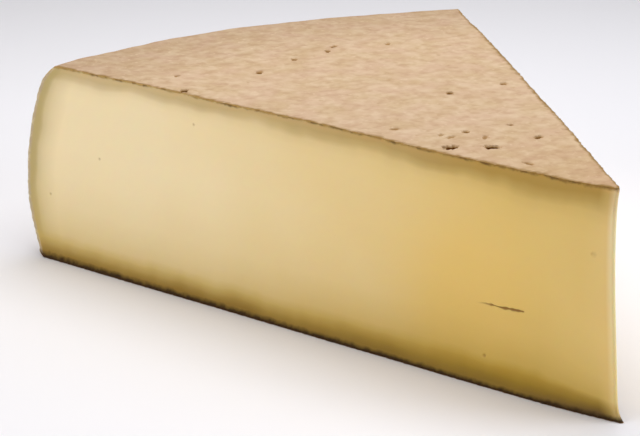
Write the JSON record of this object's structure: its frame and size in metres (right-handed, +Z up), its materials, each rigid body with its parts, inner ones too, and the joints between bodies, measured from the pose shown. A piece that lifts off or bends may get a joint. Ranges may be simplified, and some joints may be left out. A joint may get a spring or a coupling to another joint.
{
  "type": "comte cheese wedge",
  "caption": "Wedge of hard pressed cheese cut from a wheel: flat top and base, brown rind, bulging heel, two cut faces, stands on its flat side.",
  "frame": {"origin": "on the ground, in the middle of the footprint's bounding box", "axes": "+Y from the thin nose along the wedge's middle line to the heel, +Z up, +X to the right seen from the nose"},
  "size_m": [0.2478, 0.3442, 0.1012],
  "materials": {
    "paste": "satin pale yellow cheese paste on the cuts, dry brown rind on top, underside and heel"
  },
  "bodies": {
    "root": {"comte_wedge": "paste"}
  },
  "joints": []
}
